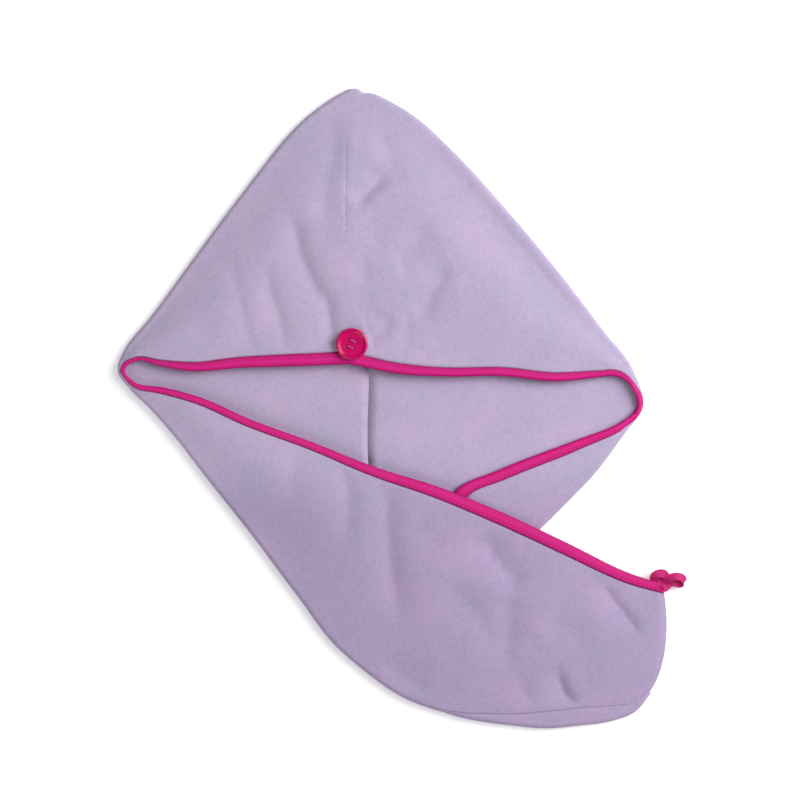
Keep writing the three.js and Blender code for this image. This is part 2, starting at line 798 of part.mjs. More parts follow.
// The pieces lie in a group whose origin is the nape.
const laid = new THREE.Group();
function add(name, geometry, look) {
  const mesh = new THREE.Mesh(geometry, new THREE.MeshStandardMaterial(look));
  mesh.name = name;
  laid.add(mesh);
  return mesh;
}
add("panel_left", panelSolid(left, leftRows), fleece);
add("panel_right", panelSolid(right, rightRows), fleece);
add("binding", bindingSolid(), satin);
add("button", buttonGeometry(), plastic).position.set(buttonX, buttonY, buttonBase);
add("button_thread", threadGeometry(), cotton).position.set(buttonX, buttonY, buttonBase);
add("tail_loop", loopSolid(), satin);

// The frame's origin is under the middle of the whole towel.
const bounds = new THREE.Box3().setFromObject(laid);
const middle = bounds.getCenter(new THREE.Vector3());
laid.position.set(-middle.x, -middle.y, -bounds.min.z);

const towel = new THREE.Group();
towel.name = "hair_turban_towel";
towel.add(laid);
export default towel;
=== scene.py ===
import math

import bmesh
import bpy
import numpy as np
from mathutils import Matrix, Vector


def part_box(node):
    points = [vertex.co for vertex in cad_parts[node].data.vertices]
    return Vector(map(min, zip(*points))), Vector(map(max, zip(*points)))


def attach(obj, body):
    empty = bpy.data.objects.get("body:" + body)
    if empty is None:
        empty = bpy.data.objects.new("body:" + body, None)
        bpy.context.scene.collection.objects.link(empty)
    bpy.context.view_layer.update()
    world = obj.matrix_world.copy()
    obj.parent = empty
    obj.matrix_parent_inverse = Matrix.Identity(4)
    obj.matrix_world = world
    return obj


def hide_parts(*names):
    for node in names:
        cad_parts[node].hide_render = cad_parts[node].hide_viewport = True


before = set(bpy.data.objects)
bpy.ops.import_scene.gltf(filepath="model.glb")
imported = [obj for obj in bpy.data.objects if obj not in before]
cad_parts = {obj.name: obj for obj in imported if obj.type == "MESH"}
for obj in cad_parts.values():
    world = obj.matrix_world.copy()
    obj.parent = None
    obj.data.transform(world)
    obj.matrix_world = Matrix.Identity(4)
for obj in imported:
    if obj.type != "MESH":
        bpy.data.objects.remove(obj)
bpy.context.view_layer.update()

# Camera and light
ground_distance = 3.6
view_centre = Vector((-0.0012, 0.0066, 0.008))
view_width = 0.624
camera_data = bpy.data.cameras.new("camera")
camera_data.sensor_width = 36
camera_data.lens = 36 * ground_distance / view_width
camera_data.clip_end = 50
camera = bpy.data.objects.new("camera", camera_data)
camera.location = view_centre + Vector((0, 0, ground_distance))
bpy.context.scene.collection.objects.link(camera)
bpy.context.scene.camera = camera
bpy.context.scene.view_settings.view_transform = "Standard"

world_strength = 0.1
world = bpy.data.worlds.new("studio")
world.use_nodes = True
world.node_tree.nodes["Background"].inputs["Color"].default_value = (1, 1, 1, 1)
world.node_tree.nodes["Background"].inputs["Strength"].default_value = world_strength
bpy.context.scene.world = world


def area_light(name, place, size, power):
    data = bpy.data.lights.new(name, "AREA")
    data.size = size
    data.energy = power
    light = bpy.data.objects.new(name, data)
    light.location = place
    light.rotation_euler = (-Vector(place)).to_track_quat("-Z", "Y").to_euler()
    bpy.context.scene.collection.objects.link(light)


area_light("key", (1.4, 0.65, 1.2), 1.3, 38)
area_light("top", (1, 0.4, 2.1), 1.2, 9)
area_light("fill", (-1, -1.1, 1.3), 1.4, 13)

# Sizes of the towel in millimetres, measured from the nape as in the CAD model
hood_height = 215.3
hood_left = 181
hood_right = 228.5
tail_length = 451
tail_width = 156
tail_fall = math.radians(22)
tail_start = (-173.2, -6.2)
end_bow = 6
end_corner = 0.5
cloth_thickness = 2.2
seam_thickness = 1.6
near_seam_thickness = 1.6
near_seam_gap = 0.01
crease_strength = 1.5
hem_thickness = 1
lay_height = 10
fold_radius = 2.6
fold_easing = 0.8
fold_reach = 75
seam_reach = 60
seam_bow = 3.5
hem_lift = 0.8
hem_lift_reach = 25
end_rounding = 12
clearance = 0.3
change_start = 0.76  # shares of the run between which the rows of the mesh change over
change_end = 0.815
pressed_low = (96, 118)  # along Y, where the crown seam starts to be pressed
pressed_high = (160, 182)
seam_gap = 0.06
band_width = 8
band_thickness = 3.4
band_wall = 0.7
ground = cloth_thickness / 2

button_low, button_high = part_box("button")
button_x = 1.6
button_y = 15.6
button_base = lay_height + band_thickness / 2 + clearance
nape = np.array(
    [
        (button_low.x + button_high.x) / 2 - button_x / 1000,
        (button_low.y + button_high.y) / 2 - button_y / 1000,
        button_low.z - button_base / 1000,
    ]
)


def to_frame(points):
    return nape + np.asarray(points, float) / 1000


# Free edges, folds and the seam: share of the run from the nape to the tip, where, across and up
left_edge = [
    (0, "hood", 0, 0),
    (0.062, "hood", -0.216, -0.007),
    (0.136, "hood", -0.474, -0.014),
    (0.198, "hood", -0.69, -0.025),
    (0.235, "hood", -0.819, -0.007),
    (0.262, "hood", -0.919, 0.012),
    (0.282, "hood", -0.969, -0.024),
    (0.291, "tail", 0.007, 0.032),
    (0.301, "tail", 0.021, 0.035),
    (0.337, "tail", 0.069, 0.003),
    (0.381, "tail", 0.132, -0.019),
    (0.449, "tail", 0.226, -0.011),
    (0.528, "tail", 0.337, -0.021),
    (0.615, "tail", 0.459, -0.024),
    (0.698, "tail", 0.575, -0.051),
    (0.783, "tail", 0.695, -0.051),
    (0.87, "tail", 0.817, -0.031),
    (0.959, "tail", 0.939, -0.008),
    (1, "tail", 0.994, -0.02),
]
left_fold = [
    (0, "hood", 0, 1),
    (0.03, "hood", -0.086, 0.96),
    (0.062, "hood", -0.203, 0.884),
    (0.136, "hood", -0.474, 0.609),
    (0.198, "hood", -0.711, 0.341),
    (0.235, "hood", -0.853, 0.178),
    (0.262, "hood", -0.974, 0.051),
    (0.282, "hood", -1.002, -0.027),
    (0.301, "tail", 0.01, 0.07),
    (0.337, "tail", 0.055, 0.125),
    (0.381, "tail", 0.111, 0.205),
    (0.449, "tail", 0.196, 0.348),
    (0.528, "tail", 0.3, 0.518),
    (0.615, "tail", 0.413, 0.715),
    (0.698, "tail", 0.532, 0.906),
    (0.75, "tail", 0.646, 0.993),
    (0.783, "tail", 0.703, 0.994),
    (0.8, "tail", 0.726, 0.989),
    (0.82, "tail", 0.756, 0.98),
    (0.87, "tail", 0.842, 0.923),
    (0.9, "tail", 0.9, 0.872),
    (0.93, "tail", 0.951, 0.798),
    (0.96, "tail", 1.006, 0.705),
    (0.98, "tail", 1.035, 0.624),
    (1, "tail", 1.048, 0.51),
]
seam_line = [
    (0, "hood", 0, 1),
    (0.03, "hood", 0.002, 0.913),
    (0.062, "hood", 0.01, 0.819),
    (0.198, "hood", 0.041, 0.42),
    (0.337, "hood", 0.065, 0.014),
    (0.449, "hood", 0.061, -0.315),
    (0.528, "tail", 0.484, 0.206),
    (0.615, "tail", 0.545, 0.512),
    (0.698, "tail", 0.616, 0.752),
    (0.75, "tail", 0.674, 0.896),
    (0.783, "tail", 0.706, 0.965),
    (0.8, "tail", 0.726, 0.981),
    (0.815, "tail", 0.749, 0.967),
    (0.84, "tail", 0.786, 0.924),
    (0.87, "tail", 0.838, 0.866),
    (0.9, "tail", 0.891, 0.791),
    (0.93, "tail", 0.943, 0.709),
    (0.96, "tail", 0.993, 0.642),
    (0.98, "tail", 1.026, 0.584),
    (1, "tail", 1.05, 0.468),
]
right_edge = [
    (0, "hood", 0, 0),
    (0.063, "hood", 0.171, -0.036),
    (0.125, "hood", 0.341, -0.045),
    (0.186, "hood", 0.512, -0.043),
    (0.26, "hood", 0.717, -0.062),
    (0.31, "hood", 0.853, -0.047),
    (0.325, "hood", 0.898, -0.043),
    (0.344, "hood", 0.944, -0.062),
    (0.368, "hood", 0.981, -0.127),
    (0.385, "hood", 0.979, -0.165),
    (0.409, "hood", 0.928, -0.208),
    (0.463, "hood", 0.77, -0.276),
    (0.523, "hood", 0.613, -0.338),
    (0.57, "hood", 0.495, -0.389),
    (0.618, "hood", 0.364, -0.455),
    (0.64, "hood", 0.338, -0.511),
    (0.66, "hood", 0.321, -0.583),
    (0.68, "hood", 0.334, -0.674),
    (0.7, "hood", 0.382, -0.754),
    (0.72, "hood", 0.468, -0.812),
    (0.74, "hood", 0.573, -0.833),
    (0.76, "hood", 0.689, -0.812),
    (0.775, "hood", 0.765, -0.772),
]
right_fold = [
    (0, "hood", 0, 1),
    (0.008, "hood", 0.025, 0.999),
    (0.018, "hood", 0.045, 0.986),
    (0.032, "hood", 0.078, 0.982),
    (0.063, "hood", 0.184, 0.926),
    (0.125, "hood", 0.358, 0.768),
    (0.186, "hood", 0.529, 0.569),
    (0.26, "hood", 0.737, 0.304),
    (0.31, "hood", 0.877, 0.109),
    (0.344, "hood", 0.962, -0.007),
    (0.368, "hood", 1.002, -0.123),
    (0.385, "hood", 0.993, -0.174),
    (0.409, "hood", 0.949, -0.239),
    (0.463, "hood", 0.853, -0.377),
    (0.523, "hood", 0.775, -0.467),
    (0.57, "hood", 0.7, -0.547),
    (0.618, "hood", 0.621, -0.630),
    (0.65, "hood", 0.590, -0.670),
    (0.68, "hood", 0.580, -0.710),
    (0.705, "hood", 0.597, -0.743),
    (0.73, "hood", 0.638, -0.761),
    (0.76, "hood", 0.706, -0.766),
    (0.775, "hood", 0.765, -0.772),
    (0.79, "tail", 0.869, 0.099),
    (0.84, "tail", 0.901, 0.075),
    (0.9, "tail", 0.942, 0.038),
    (1, "tail", 0.997, -0.010),
]

# How the cloth lies at each share: height of the edge, puff, fold radius, band width, hem lift
left_lie = [
    (0, 1, 0.5, 1, 1.22, 0),
    (0.06, 0.98, 0.5, 1, 1.2, 0),
    (0.136, 0.95, 0.5, 1, 1.08, 0),
    (0.198, 0.9, 0.4, 1, 0.88, 0),
    (0.235, 0.8, 0.3, 1, 0.64, 0),
    (0.262, 0.72, 0.15, 1, 0.5, 0),
    (0.282, 0.68, 0.05, 1, 0.45, 0),
    (0.301, 0.7, 0.05, 1, 0.58, 0),
    (0.337, 0.8, 0.06, 1, 0.72, 0),
    (0.381, 0.9, 0.1, 1, 0.74, 0),
    (0.449, 0.92, 0.2, 1, 0.76, 0),
    (0.528, 0.92, 0.32, 1, 0.76, 0),
    (0.615, 0.95, 0.4, 1, 0.92, 0),
    (0.698, 0.98, 0.4, 1, 1.12, 0),
    (0.783, 0.97, 0.35, 1, 1.2, 0),
    (0.87, 0.85, 0.3, 0.92, 1.16, 0),
    (0.959, 0.65, 0.2, 0.65, 1.05, 0),
    (1, 0.58, 0, 0.48, 0.96, 0),
]
right_lie = [
    (0, 1, 0.5, 1, 1.22, 0),
    (0.063, 0.98, 0.5, 1, 1.06, 0),
    (0.125, 0.96, 0.5, 1, 0.88, 0),
    (0.186, 0.95, 0.5, 1, 0.87, 0),
    (0.26, 0.85, 0.35, 1, 0.87, 0),
    (0.31, 0.75, 0.2, 1, 0.68, 0),
    (0.344, 0.7, 0.05, 1, 0.6, 0),
    (0.368, 0.66, 0.05, 1, 0.55, 0),
    (0.385, 0.62, 0.05, 0.9, 0.52, 0),
    (0.409, 0.58, 0.08, 0.8, 0.66, 0),
    (0.463, 0.55, 0.12, 0.78, 1.02, 0),
    (0.523, 0.54, 0.12, 0.78, 1.3, 0),
    (0.618, 0.53, 0.1, 0.78, 1.3, 0),
    (0.7, 0.61, 0.05, 0.8, 0.85, 0),
    (0.74, 0.63, 0, 0.82, 0.5, 0.6),
    (0.765, 0.62, 0, 0.85, 0.4, 1),
    (0.81, 0.62, 0, 0.85, 0.4, 1),
    (0.85, 0.51, 0, 0.78, 1, 1),
    (1, 0.51, 0, 0.78, 1, 1),
]

# Grooves in the upper cloth in millimetres from the nape, each drawn downwards:
# depth, width of the left and right flank, rounding of the bottom, points
creases = [
    (1.1, 9, 8, 2.5, [(-15, 198), (-13.5, 179), (-13.5, 160), (-18, 144), (-20, 118), (-19, 100)]),
    (2.4, 11, 7, 1.8, [(-50, 124), (-43, 106), (-40, 90), (-34, 73), (-27, 58), (-25, 48)]),
    (2, 7, 6, 1.5, [(-21, 60), (-17.5, 44), (-15, 28), (-13, 14)]),
    (0.7, 7, 5, 1.5, [(-93, 88), (-89, 67), (-84, 43), (-80, 24), (-73, 14)]),
    (1.4, 9, 6, 1.5, [(-64, 84), (-63, 60), (-57, 40), (-53, 26), (-49, 8)]),
    (0.6, 12, 10, 4, [(-118, 36), (-112, 14)]),
    (2.4, 12, 4, 0.8, [(31, 150), (21, 140), (13, 132.5), (4, 123.5)]),
    (1.2, 10, 9, 3, [(20, 192), (28, 170), (32, 154), (30, 138)]),
    (0.7, 9, 9, 3, [(10, 118), (20, 102), (16, 94)]),
    (1.3, 10, 10, 3, [(64, 112), (52, 96), (43, 84), (34, 79)]),
    (0.6, 7, 7, 2.5, [(18, 76), (8, 72), (4, 64)]),
    (1.8, 13, 7, 1.6, [(79, 79), (71, 68), (65, 56), (59, 44), (50, 34)]),
    (0.8, 6, 5, 1.5, [(46, 44), (45, 28), (43, 12)]),
    (1.7, 13, 4, 1, [(36, 38), (28, 28), (19, 20), (14, 18)]),
    (1, 14, 14, 6, [(46, 175), (78, 140), (104, 112), (130, 84), (152, 56), (178, 14)]),
    (0.8, 9, 8, 2, [(-44, -64), (-45, -84), (-48, -106)]),
    (1.5, 9, 7, 1.5, [(-10, -76), (-4, -90), (-1, -104), (-2, -124), (-4, -136)]),
    (3, 13, 12, 1.8, [(22, -92), (28.5, -104), (29, -122), (31, -150), (34, -174), (40, -200)]),
    (0.7, 9, 9, 3, [(44, -122), (62, -134), (74, -142)]),
    (2.8, 10, 12, 2, [(107, -130), (110, -142), (118, -156), (126, -166), (129, -180)]),
    (1, 9, 6, 1.5, [(92, -140), (104, -146), (114, -154)]),
    (2, 11, 9, 2, [(128, -178), (125, -196), (124, -214), (121, -238)]),
    (1.6, 12, 12, 3, [(72, -168), (84, -180), (96, -194), (106, -210), (110, -226)]),
    (2, 10, 5, 0.8, [(193, -168), (202, -180), (212, -192), (221, -204), (227, -211)]),
    (1.3, 12, 12, 4, [(150, -194), (164, -203), (176, -210), (186, -220)]),
    (0.6, 8, 8, 2, [(144, -210), (144, -228)]),
    (2.6, 8, 3, 0.4, [(163, -234), (165.5, -250), (170.5, -260), (180, -271)]),
    (0.8, 6, 5, 1, [(129, -241), (136, -254), (141, -264)]),
    (0.8, 12, 12, 4, [(26, -228), (44, -246), (62, -252)]),
]

# Ridges in the far cloth seen through the opening: height, widths, rounding, points
far_ridges = [
    (0.9, 5, 6, 1.5, [(24, -22), (34, -31), (48, -37), (72, -39)]),
    (0.7, 6, 7, 2, [(26, -58), (40, -66)]),
    (0.6, 6, 8, 2, [(50, -84), (72, -90)]),
    (0.5, 9, 9, 3, [(96, -30), (128, -36), (160, -34)]),
    (0.5, 8, 8, 3, [(-96, -18), (-60, -30), (-30, -40)]),
]


def smooth_step(start, end, value):
    part = np.clip((np.asarray(value, float) - start) / (end - start), 0, 1)
    return part * part * (3 - 2 * part)


def plan_of(on, across, up):
    if on == "hood":
        return (across * (hood_left if across < 0 else hood_right), up * hood_height)
    along = across * tail_length
    down = up * tail_width
    return (
        tail_start[0] + along * math.cos(tail_fall) - down * math.sin(tail_fall),
        tail_start[1] - along * math.sin(tail_fall) - down * math.cos(tail_fall),
    )


def through(knots, values, steady=False):
    """A smooth curve through knots; a steady one never overshoots them."""
    knots = np.array(knots, float)
    values = np.array(values, float)
    spans = np.diff(knots)
    rise = np.diff(values) / spans
    slopes = np.empty(len(values))
    slopes[0] = rise[0]
    slopes[-1] = rise[-1]
    if steady:
        same_way = rise[:-1] * rise[1:] > 0
        total = np.where(same_way, rise[:-1] + rise[1:], 1)
        slopes[1:-1] = np.where(same_way, 2 * rise[:-1] * rise[1:] / total, 0)
    else:
        slopes[1:-1] = (rise[:-1] * spans[1:] + rise[1:] * spans[:-1]) / (spans[:-1] + spans[1:])

    def curve(at):
        place = np.clip(at, knots[0], knots[-1])
        i = np.clip(np.searchsorted(knots, place, side="left") - 1, 0, len(knots) - 2)
        span = spans[i]
        t = (place - knots[i]) / span
        t2 = t * t
        t3 = t2 * t
        return (
            values[i] * (2 * t3 - 3 * t2 + 1)
            + slopes[i] * span * (t3 - 2 * t2 + t)
            + values[i + 1] * (3 * t2 - 2 * t3)
            + slopes[i + 1] * span * (t3 - t2)
        )

    return curve


def plan_curve(rows):
    knots = [row[0] for row in rows]
    points = np.array([plan_of(*row[1:]) for row in rows])
    x = through(knots, points[:, 0])
    y = through(knots, points[:, 1])
    return lambda at: np.stack([x(at), y(at)], axis=-1)


class Panel:
    def __init__(self, side, edge, fold, lie):
        knots = [row[0] for row in lie]
        columns = [through(knots, [row[i] for row in lie], True) for i in range(1, 6)]
        self.side = side
        self.edge = plan_curve(edge)
        self.fold = plan_curve(fold)
        self.height, self.puff, self.radius, self.band, self.lift = columns


left = Panel(-1, left_edge, left_fold, left_lie)
right = Panel(1, right_edge, right_fold, right_lie)
seam = plan_curve(seam_line)


def wrap_at(at):
    return 1 - smooth_step(0.785, 0.815, at)


def flap_at(at):
    return 1 - smooth_step(0.775, 0.805, at)


def relief(rows, places):
    """How deep the grooves are, or how high the ridges, at places in plan."""
    total = np.zeros(places.shape[:-1])
    for most, left_width, right_width, rounding, points in rows:
        knots = np.linspace(0, 1, len(points))
        at = np.linspace(0, 1, 12 * len(points))
        x = through(knots, [point[0] for point in points])(at)
        y = through(knots, [point[1] for point in points])(at)
        line = np.stack([x, y], axis=-1)
        along = unit(np.gradient(line, axis=0))
        low = line.min(axis=0) - 45
        high = line.max(axis=0) + 45
        close = np.all((places > low) & (places < high), axis=-1)
        near = places[close]
        away = near[:, None, :] - line
        nearest = np.argmin(np.sum(away**2, axis=-1), axis=1)
        away = away[np.arange(len(near)), nearest]
        direction = along[nearest]
        side = direction[:, 0] * away[:, 1] - direction[:, 1] * away[:, 0]
        reach = np.linalg.norm(away, axis=-1)
        mostly_right = smooth_step(-rounding, rounding, side)
        width = left_width + (right_width - left_width) * mostly_right
        softened = np.sqrt(reach**2 + rounding**2) - rounding
        fade = smooth_step(-0.05, 0.3, at[nearest]) * (1 - smooth_step(0.75, 1.1, at[nearest]))
        total[close] += most * fade * np.exp(-((softened / width) ** 1.25))
    return total


def unit(vectors):
    lengths = np.linalg.norm(vectors, axis=-1, keepdims=True)
    return vectors / np.maximum(lengths, 1e-9)


def fold_of(panel, at):
    """The fold at each station: outward direction, radius, middle and heights."""
    step = 0.004
    along = panel.fold(np.minimum(at + step, 1)) - panel.fold(np.maximum(at - step, 0))
    outward = unit(np.stack([-along[:, 1], along[:, 0]], axis=-1) * panel.side)
    level = (1 - smooth_step(0, 0.03, at))[:, None]
    outward = unit(outward * (1 - level) + np.array([0, 1]) * level)
    radius = fold_radius * panel.radius(at)
    lowest = ground + hem_lift * panel.lift(at)
    outermost = panel.fold(at) - outward * cloth_thickness / 2
    return {
        "outward": outward,
        "radius": radius,
        "middle": outermost - outward * radius[:, None],
        "lowest": lowest,
        "highest": lowest + 2 * radius,
    }


def beside_fold(fold, places):
    """Points beside a fold, kept on the inner side of its middle."""
    away = places - fold["middle"]
    inward = -np.sum(away * fold["outward"], axis=-1)
    kept = (inward + np.sqrt(inward**2 + fold_easing**2)) / 2
    return places + fold["outward"] * (inward - kept)[:, None]


def bow(at, share):
    most = (end_bow * smooth_step(0.86, 1, at))[:, None]
    return most * 4 * share * (1 - share) * (1 + end_corner * share**3)


def line_between(start, end, share):
    return start[:, None, :] * (1 - share[None, :, None]) + end[:, None, :] * share[None, :, None]


def upper_line(panel, at, start, start_height, end, end_height, share):
    places = line_between(start, end, share)
    if panel is left:
        places[..., 0] += bow(at, share)
    lean = (1 - smooth_step(0, 0.12, at))[:, None] * (1 - (2 * share - 1) ** 4)
    places[..., 0] -= seam_bow * lean
    remaining = np.linalg.norm(end[:, None, :] - places, axis=-1)
    reach = (fold_reach + (seam_reach - fold_reach) * (1 - wrap_at(at)))[:, None]
    room = np.maximum(np.minimum(reach, 0.55 * remaining[:, :1]), 1)
    swell = (lay_height * panel.puff(at))[:, None] * smooth_step(0, 0.45, share)
    swell = swell * smooth_step(0, 1, remaining / room)
    height = start_height[:, None] * (1 - share) + end_height[:, None] * share
    dent = crease_strength * relief(creases, places) * smooth_step(0, end_rounding, remaining)
    height = height + swell - dent
    return np.concatenate([places, height[..., None]], axis=-1)


def lower_line(at, start, start_height, end, end_height, share, bowed=False):
    places = line_between(start, end, share)
    if bowed:
        places[..., 0] += bow(at, share)
    fade = 1 - smooth_step(0, hem_lift_reach, np.linalg.norm(places - start[:, None, :], axis=-1))
    height = end_height[:, None] * (1 - fade) + start_height[:, None] * fade
    height = height + relief(far_ridges, places)
    return np.concatenate([places, height[..., None]], axis=-1)


def fold_turn(fold, start, end, share):
    angle = math.pi * (start[:, None] * (1 - share) + end[:, None] * share)
    reach = fold["radius"][:, None] * np.sin(angle)
    places = fold["middle"][:, None, :] + fold["outward"][:, None, :] * reach[..., None]
    height = (fold["lowest"] + fold["radius"])[:, None] + fold["radius"][:, None] * np.cos(angle)
    return np.concatenate([places, height[..., None]], axis=-1)


def either(chosen, one, other):
    return np.where(chosen[:, None], one, other)


def run_of(panel, at):
    """The run of cloth at each station from the free edge to the seam, in pieces."""
    share = np.linspace(0, 1, 97)
    turn_share = np.linspace(0, 1, 49)
    one = np.ones_like(at)
    flat = ground * one
    wrap = wrap_at(at)
    hem = fold_of(left, at)
    sewn = beside_fold(hem, seam(at))
    if panel is left:
        start = beside_fold(hem, left.edge(at))
        end = either(wrap > 0, hem["middle"], sewn)
        last = either(wrap < 1, hem["middle"], sewn)
        return [
            upper_line(left, at, start, lay_height * left.height(at), end, hem["highest"], share),
            fold_turn(hem, 0 * one, wrap, turn_share),
            lower_line(at, hem["middle"], flat, last, flat, share),
        ]
    fold = fold_of(right, at)
    flap = flap_at(at)
    opened = flap < 1
    start = either(opened, fold["middle"], beside_fold(fold, right.edge(at)))
    start_height = np.where(opened, fold["highest"], lay_height * right.height(at))
    end = either(wrap < 1, hem["middle"], sewn)
    strip_end = either(wrap > 0, hem["middle"], sewn)
    return [
        upper_line(right, at, start, start_height, fold["middle"], fold["highest"], share),
        fold_turn(fold, 1 - flap, one, turn_share),
        lower_line(at, fold["middle"], fold["lowest"], end, flat, share, True),
        fold_turn(hem, one, wrap, turn_share),
        lower_line(at, hem["middle"], hem["highest"], strip_end, hem["highest"], share),
    ]


class Run:
    """Runs at many stations, measured along the cloth from the free edge."""

    def __init__(self, panel, at):
        pieces = run_of(panel, at)
        self.line = np.concatenate(pieces, axis=1)
        steps = np.linalg.norm(np.diff(self.line, axis=1), axis=-1)
        counts = np.cumsum([piece.shape[1] for piece in pieces]) - 1
        steps[:, counts[:-1]] = 0
        start = np.zeros((len(at), 1))
        self.distance = np.concatenate([start, np.cumsum(steps, axis=1)], axis=1)
        self.ends = self.distance[:, counts]
        self.length = self.distance[:, -1]

    def places(self, distances):
        """Points at distances[station, row]."""
        out = np.empty(distances.shape + (3,))
        for i, row in enumerate(distances):
            for axis in range(3):
                out[i, :, axis] = np.interp(row, self.distance[i], self.line[i, :, axis])
        return out


def shared_stations(count):
    samples = np.linspace(0, 1, 4001)
    middle = np.clip(samples, 0.004, 0.994)
    cost = np.zeros(len(samples) - 1)
    for curve in (left.edge, left.fold, right.edge, right.fold):
        points = curve(middle)
        step = np.diff(points, axis=0)
        moved = np.linalg.norm(step, axis=-1)
        ahead = curve(middle + 0.002) - curve(middle - 0.002)
        heading = np.arctan2(ahead[:, 1], ahead[:, 0])
        turned = np.abs((np.diff(heading) + math.pi) % (2 * math.pi) - math.pi)
        cost = np.maximum(cost, moved / 2 + np.where(moved > 0.001, np.minimum(turned, 0.1) / 0.12, 0))
    inside = (middle[:-1] > change_start) & (middle[1:] < change_end)
    cost = cost + 30 * inside / max(inside.sum(), 1)
    total = np.concatenate([[0], np.cumsum(cost)])
    found = np.interp(np.linspace(0, total[-1], count - 1), total, samples)
    return np.concatenate([[0, 0.0013], found])


station_count = 360
stations = shared_stations(station_count)


def body_rows(ends, counts, start, stop):
    rows = []
    low = start
    left_over = sum(counts)
    for piece, count in enumerate(counts):
        left_over -= count
        least = low + count * 0.05
        most = stop - left_over * 0.05
        high = min(max(ends[piece], least), most) if left_over else stop
        rows.extend(low + (high - low) * np.arange(1, count + 1) / max(count, 1))
        if count:
            low = high
    return np.array(rows)


def mesh_object(name, points, faces, material, uv=None):
    mesh = bpy.data.meshes.new(name)
    mesh.from_pydata([tuple(p) for p in points], [], faces)
    mesh.update()
    if uv is not None:
        layer = mesh.uv_layers.new(name="UVMap")
        loops = np.empty(len(mesh.loops), np.int32)
        mesh.loops.foreach_get("vertex_index", loops)
        layer.data.foreach_set("uv", uv[loops].astype(np.float32).ravel())
    mesh.polygons.foreach_set("use_smooth", [True] * len(mesh.polygons))
    mesh.materials.append(material)
    made = bpy.data.objects.new(name, mesh)
    bpy.context.scene.collection.objects.link(made)
    return made


def outward_faces(points, faces):
    """The faces, turned round if they point inwards."""
    a, b, c = (points[[face[i] for face in faces]] for i in range(3))
    d = points[[face[-1] for face in faces]]
    volume = np.einsum("ij,ij->", a, np.cross(b, c)) + np.einsum("ij,ij->", a, np.cross(c, d))
    return [face[::-1] for face in faces] if volume < 0 else faces


def grid_normals(grid, side):
    along_rows = np.gradient(grid, axis=1)
    along_stations = np.gradient(grid, axis=0)
    return unit(np.cross(along_stations, along_rows)) * side


# Materials


def material_named(name):
    made = bpy.data.materials.new(name)
    made.use_nodes = True
    nodes = made.node_tree.nodes
    return made, nodes, made.node_tree.links, nodes["Principled BSDF"]


def noise_node(nodes, links, vector, scale, detail=2.0, roughness=0.5):
    node = nodes.new("ShaderNodeTexNoise")
    node.inputs["Scale"].default_value = scale
    node.inputs["Detail"].default_value = detail
    node.inputs["Roughness"].default_value = roughness
    links.new(vector, node.inputs["Vector"])
    return node.outputs["Fac"]


def ramp_node(nodes, links, value, stops):
    node = nodes.new("ShaderNodeValToRGB")
    ramp = node.color_ramp
    while len(ramp.elements) < len(stops):
        ramp.elements.new(0.5)
    for element, (place, colour) in zip(ramp.elements, stops):
        element.position = place
        element.color = (*colour, 1)
    links.new(value, node.inputs["Fac"])
    return node.outputs["Color"]


def multiplied(nodes, links, one, other):
    node = nodes.new("ShaderNodeMix")
    node.data_type = "RGBA"
    node.blend_type = "MULTIPLY"
    node.inputs["Factor"].default_value = 1
    links.new(one, node.inputs["A"])
    links.new(other, node.inputs["B"])
    return node.outputs["Result"]


def bump_node(nodes, links, height, strength, distance, under=None):
    node = nodes.new("ShaderNodeBump")
    node.inputs["Strength"].default_value = strength
    node.inputs["Distance"].default_value = distance
    links.new(height, node.inputs["Height"])
    if under is not None:
        links.new(under, node.inputs["Normal"])
    return node.outputs["Normal"]


def upwards(nodes, links, low, high):
    """Rises from 0 to 1 between two places along Y, in metres."""
    separate = nodes.new("ShaderNodeSeparateXYZ")
    links.new(nodes.new("ShaderNodeTexCoord").outputs["Object"], separate.inputs["Vector"])
    node = nodes.new("ShaderNodeMapRange")
    node.interpolation_type = "SMOOTHSTEP"
    node.inputs["From Min"].default_value = low
    node.inputs["From Max"].default_value = high
    links.new(separate.outputs["Y"], node.inputs["Value"])
    return node.outputs["Result"]


def linear(red, green, blue):
    """An sRGB colour from 0 to 255 as linear light."""
    return tuple(
        c / 12.92 if c <= 0.04045 else ((c + 0.055) / 1.055) ** 2.4
        for c in (red / 255, green / 255, blue / 255)
    )


